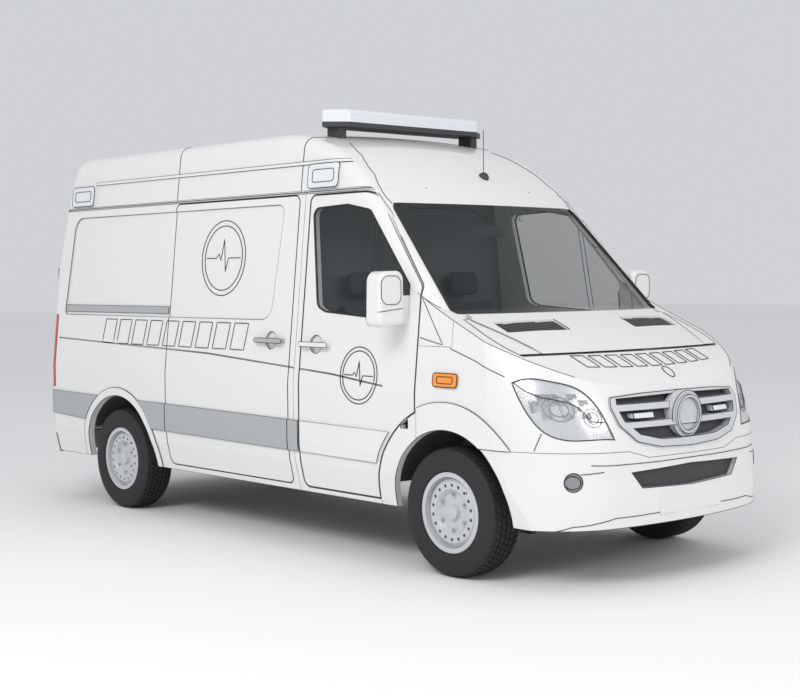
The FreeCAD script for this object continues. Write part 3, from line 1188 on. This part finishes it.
def make_running_gear():
    parts = {}
    x = FRONT_AXLE_X
    length, half, z0, z1, low = SUBFRAME
    cross = box(x - length, x + length, -half, half, z0, z1)
    for side in SIDES.values():
        cross = cross.fuse(sided_box(x - length, x + length, half, half + CROSS / 2, low, RAIL_LOW, side))
        cross = cross.fuse(arm(ARM_LOW[0], ARM_LOW[1], half + CROSS / 2, side))
    arms = [arm(ARM_HIGH[0], ARM_HIGH[1], RAIL_Y + RAIL_WIDTH, side) for side in SIDES.values()]
    parts["front_suspension"] = Part.makeCompound([cross] + arms)
    for name, side in SIDES.items():
        low = ARM_LOW[1] + FIT
        high = ARM_HIGH[0] - FIT
        upright = Part.makeCylinder(UPRIGHT_RADIUS, high - low, Vector(x, side * KINGPIN_Y, low))
        stub = rod(Vector(x, side * KINGPIN_Y, TYRE_RADIUS), Vector(x, side * (HUB_IN - FIT), TYRE_RADIUS), STUB_RADIUS)
        a, b, z0, z1, y0, y1 = CALIPER
        caliper = sided_box(x - b, x - a, y0, y1, z0, z1, side)
        s0, s1, radius = CALIPER_SLOT
        slot = rod(Vector(x, side * s0, TYRE_RADIUS), Vector(x, side * s1, TYRE_RADIUS), radius)
        bridge = sided_box(x - b, x, KINGPIN_Y - UPRIGHT_RADIUS / 2, HUB_IN - 6.0, TYRE_RADIUS - 22.0, TYRE_RADIUS + 22.0, side)
        parts["knuckle_" + name] = upright.fuse(stub).fuse(caliper.cut(slot)).fuse(bridge)
    x = REAR_AXLE_X
    y = HUB_IN - FIT
    axle = rod(Vector(x, -y, TYRE_RADIUS), Vector(x, y, TYRE_RADIUS), AXLE_RADIUS)
    axle = axle.fuse(Part.makeSphere(DIFF_RADIUS, Vector(x, 0, TYRE_RADIUS)))
    y0, y1, thick, reach, rise = LEAF
    leaves = []
    top = TYRE_RADIUS - AXLE_RADIUS
    for side in SIDES.values():
        pad = sided_box(x - LEAF_PAD, x + LEAF_PAD, y0, y1, top, top + AXLE_RADIUS, side)
        axle = axle.fuse(pad)
        upper = Part.Arc(Vector(x - reach, 0, top + rise), Vector(x, 0, top + FIT), Vector(x + reach, 0, top + rise)).toShape()
        lower = Part.Arc(Vector(x + reach, 0, top + rise - thick), Vector(x, 0, top - thick), Vector(x - reach, 0, top + rise - thick)).toShape()
        ends = [line(Vector(x + reach, 0, top + rise), Vector(x + reach, 0, top + rise - thick)),
                line(Vector(x - reach, 0, top + rise - thick), Vector(x - reach, 0, top + rise))]
        face = Part.Face(Part.Wire([upper, ends[0], lower, ends[1]]))
        face.translate(Vector(0, side * y0, 0))
        leaf = face.extrude(Vector(0, side * (y1 - y0), 0)).cut(pad)
        for end in (-1.0, 1.0):
            a, b = sorted([x + end * (reach - 40.0), x + end * reach])
            hanger = sided_box(a, b, y0, y1, top + rise - thick, RAIL_LOW, side)
            leaf = leaf.fuse(hanger)
        leaves.append(leaf)
    parts["leaf_springs"] = Part.makeCompound(leaves)
    a, b, half, z0, z1 = ENGINE
    engine = box(fa(a), fa(b), -half, half, z0, z1)
    a, b, half, z0, z1 = GEARBOX
    engine = engine.fuse(box(fa(a), fa(b) + 1.0, -half, half, max(z0, SUBFRAME[3]), z1 - 40.0))
    a, b, half, z0, z1 = RADIATOR
    parts["engine_block"] = Part.makeCompound([engine, box(fa(a), fa(b), -half, half, z0, z1)])
    shaft = rod(Vector(fa(GEARBOX[0]), 0, 440.0 + SHAFT_RADIUS / 8), Vector(x + DIFF_RADIUS - 4.0, 0, TYRE_RADIUS), SHAFT_RADIUS)
    parts["rear_axle"] = Part.makeCompound([axle, shaft.cut(axle).cut(engine)])
    a, b, y0, y1, z0, z1 = TANK
    tank = box(fa(a), fa(b), y0, y1, z0, FLOOR_LOW)
    parts["fuel_tank"] = tank.cut(rails_zone())
    a, b, y, z, radius = MUFFLER
    muffler = rod(Vector(fa(a), y, z), Vector(fa(b), y, z), radius)
    pipe = rod(Vector(fa(b), y, z), Vector(fa(-700.0), y, z), PIPE_RADIUS)
    tail = rod(Vector(fa(-2780.0), y, z), Vector(fa(a), y, z), PIPE_RADIUS)
    parts["exhaust"] = muffler.fuse(pipe).fuse(tail).cut(rails_zone())
    return parts


def rails_zone():
    """The room the crossmembers fill."""
    return Part.makeCompound([box(fa(x) - CROSS / 2, fa(x) + CROSS / 2, -RAIL_Y, RAIL_Y, CROSS_LOW, FLOOR_LOW) for x in CROSS_X])


# Wheels

TYRE_BEAD = 205.0
TYRE_SHOULDER = 42.0
TREAD_HALF = 92.0
RIM_HALF = 100.0
RIM_LIP = 7.0
RIM_WALL = 8.0
DISH = [(197.0, 62.0), (168.0, 84.0), (128.0, 84.0), (104.0, 58.0), (0.0, 58.0)]
DISH_THICK = 8.0
VENTS = 18
VENT_RING = 150.0
VENT_RADIUS = 10.0
HUB_RADIUS = 70.0
CAP_RADIUS = 42.0
DISC_RADIUS = 150.0
DISC = (2.0, 22.0)


def ring(profile, x, side):
    """Turns a closed outline of (radius, distance outwards from the wheel's middle) about the axle."""
    points = [Vector(x, side * (TRACK / 2 + y), TYRE_RADIUS + r) for r, y in profile]
    face = Part.Face(Part.makePolygon(points + points[:1]))
    return face.revolve(Vector(x, 0, TYRE_RADIUS), Vector(0, 1, 0), 360.0)


def make_wheels():
    parts = {}
    for place, x in (("front", FRONT_AXLE_X), ("rear", REAR_AXLE_X)):
        for name, side in SIDES.items():
            half = TYRE_WIDTH / 2
            outline = [(TYRE_BEAD, -RIM_HALF + RIM_LIP), (TYRE_BEAD, RIM_HALF - RIM_LIP), (RIM_RADIUS + 1.0, RIM_HALF - RIM_LIP),
                       (RIM_RADIUS + 8.0, half - 4.0), (290.0, half), (TYRE_RADIUS - 30.0, half - 5.0),
                       (TYRE_RADIUS - 6.0, TREAD_HALF), (TYRE_RADIUS, TREAD_HALF - 20.0),
                       (TYRE_RADIUS, -TREAD_HALF + 20.0), (TYRE_RADIUS - 6.0, -TREAD_HALF),
                       (TYRE_RADIUS - 30.0, -half + 5.0), (290.0, -half), (RIM_RADIUS + 8.0, -half + 4.0),
                       (RIM_RADIUS + 1.0, -RIM_HALF + RIM_LIP)]
            parts["tyre_%s_%s" % (place, name)] = ring(outline, x, side)
            barrel = [(TYRE_BEAD - RIM_WALL, -RIM_HALF), (RIM_RADIUS, -RIM_HALF), (RIM_RADIUS, -RIM_HALF + RIM_LIP),
                      (TYRE_BEAD, -RIM_HALF + RIM_LIP), (TYRE_BEAD, RIM_HALF - RIM_LIP),
                      (RIM_RADIUS, RIM_HALF - RIM_LIP), (RIM_RADIUS, RIM_HALF), (TYRE_BEAD - RIM_WALL, RIM_HALF)]
            dish = DISH + [(r, y - DISH_THICK) for r, y in reversed(DISH)]
            rim = ring(barrel, x, side).fuse(ring(dish, x, side))
            hub_in = HUB_IN - TRACK / 2
            hub = [(0.0, hub_in), (HUB_RADIUS, hub_in), (HUB_RADIUS, DISH[-1][1] - DISH_THICK), (0.0, DISH[-1][1] - DISH_THICK)]
            disc = [(0.0, hub_in + DISC[0]), (DISC_RADIUS, hub_in + DISC[0]), (DISC_RADIUS, hub_in + DISC[1]), (0.0, hub_in + DISC[1])]
            cap = [(0.0, DISH[-1][1] - 1.0), (CAP_RADIUS, DISH[-1][1] - 1.0), (CAP_RADIUS - 6.0, DISH[-1][1] + 24.0), (0.0, DISH[-1][1] + 28.0)]
            rim = rim.fuse(ring(hub, x, side)).fuse(ring(disc, x, side)).fuse(ring(cap, x, side))
            hole = rod(Vector(x, side * (TRACK / 2 + 40.0), TYRE_RADIUS + VENT_RING),
                       Vector(x, side * (TRACK / 2 + 120.0), TYRE_RADIUS + VENT_RING), VENT_RADIUS)
            holes = []
            for i in range(VENTS):
                vent = hole.copy()
                vent.rotate(Vector(x, 0, TYRE_RADIUS), Vector(0, 1, 0), 360.0 * i / VENTS)
                holes.append(vent)
            parts["rim_%s_%s" % (place, name)] = rim.cut(Part.makeCompound(holes))
    return parts


# Cab

DASH = [(-200.0, 700.0), (-200.0, 1325.0), (-330.0, 1345.0), (-520.0, 1300.0), (-585.0, 1240.0), (-560.0, 1130.0),
        (-470.0, 1000.0), (-400.0, 820.0), (-330.0, 700.0)]
DASH_HALF = 830.0
SEAT_Y = 440.0
SEAT_HALF = 240.0
SEAT_BASE = (-1130.0, -760.0, 190.0, 600.0, 780.0)
CUSHION = (-1180.0, -690.0, 780.0, 910.0)
CUSHION_ROUND = 35.0
BACK_DEPTH = 120.0
BACK_HEIGHT = 620.0
BACK_LEAN = 10.0
HEADREST = (60.0, 130.0, 180.0)
STEER_CENTRE = (-790.0, 1120.0)
STEER_AXIS = (-1.0, 1.0)
SHROUD = (-700.0, -440.0, 60.0, 985.0, 1055.0)
STEER_RADIUS = 190.0
STEER_TUBE = 14.0
COLUMN_RADIUS = 30.0
COLUMN_LENGTH = 170.0
HUB_HALF = 20.0


def make_cab(inner):
    parts = {}
    wire = Part.makePolygon([Vector(fa(x), -DASH_HALF, z) for x, z in DASH + DASH[:1]])
    dash = Part.Face(wire).extrude(Vector(0, 2 * DASH_HALF, 0))
    centre = Vector(fa(STEER_CENTRE[0]), SEAT_Y, STEER_CENTRE[1])
    axis = Vector(STEER_AXIS[0], 0, STEER_AXIS[1]).normalize()
    column_top = centre - axis * (HUB_HALF + FIT)
    column = rod(column_top - axis * COLUMN_LENGTH, column_top, COLUMN_RADIUS)
    x0, x1, half, z0, z1 = SHROUD
    shroud = box(fa(x0), fa(x1), SEAT_Y - half, SEAT_Y + half, z0, z1)
    arches = arch(FRONT_AXLE_X, ARCH_RADIUS + LINER)
    parts["dashboard"] = dash.fuse(shroud).fuse(column).cut(arches)
    wheel = Part.makeTorus(STEER_RADIUS, STEER_TUBE, centre, axis)
    hub = rod(centre - axis * HUB_HALF, centre + axis * HUB_HALF, 60.0)
    across_y = Vector(0, 1, 0)
    down = axis.cross(across_y)
    spokes = []
    for direction in (across_y, across_y * -1, down if down.z < 0 else down * -1):
        spokes.append(rod(centre, centre + direction * STEER_RADIUS, STEER_TUBE * 0.8))
    parts["steering_wheel"] = wheel.fuse(hub).fuse(spokes)
    soft = []
    bases = []
    for side in SIDES.values():
        y0 = side * SEAT_Y - SEAT_HALF
        y1 = side * SEAT_Y + SEAT_HALF
        x0, x1, half, z0, z1 = SEAT_BASE
        bases.append(box(fa(x0), fa(x1), side * SEAT_Y - half, side * SEAT_Y + half, z0, z1))
        x0, x1, z0, z1 = CUSHION
        cushion = box(fa(x0), fa(x1), y0, y1, z0, z1)
        cushion = cushion.makeFillet(CUSHION_ROUND, cushion.Edges)
        back = box(fa(x0) - BACK_DEPTH / 2, fa(x0) + BACK_DEPTH / 2, y0, y1, z1 + FIT, z1 + BACK_HEIGHT)
        back = back.makeFillet(CUSHION_ROUND, back.Edges)
        thick, half, tall = HEADREST
        head = box(fa(x0) - thick, fa(x0) + thick / 2, side * SEAT_Y - half, side * SEAT_Y + half,
                   z1 + BACK_HEIGHT + FIT, z1 + BACK_HEIGHT + tall)
        head = head.makeFillet(CUSHION_ROUND, head.Edges)
        turn = Vector(fa(x0) + BACK_DEPTH / 2, 0, z1 + FIT)
        for piece in (back, head):
            piece.rotate(turn, Vector(0, 1, 0), -BACK_LEAN)
        soft += [cushion.cut(back), back, head]
    parts["seat_cushions"] = Part.makeCompound(soft)
    parts["seat_bases"] = Part.makeCompound(bases)
    return parts


if __name__ == "__main__":
    import time
    os.makedirs(PARTS, exist_ok=True)
    t = time.time()
    outer = hull(0.0)
    inner = hull(WALL)
    print("hulls", round(time.time() - t, 1))
    groups = [
        lambda: make_panels(outer, inner),
        lambda: make_front_trim(outer),
        lambda: make_side_trim(outer),
        lambda: make_hinges(inner),
        lambda: make_roof_fittings(outer),
        lambda: make_floor(inner),
        lambda: make_running_gear(),
        lambda: make_wheels(),
        lambda: make_cab(inner),
    ]
    for group in groups:
        for name, shape in group().items():
            save(name, shape)
        print("at", round(time.time() - t, 1), flush=True)
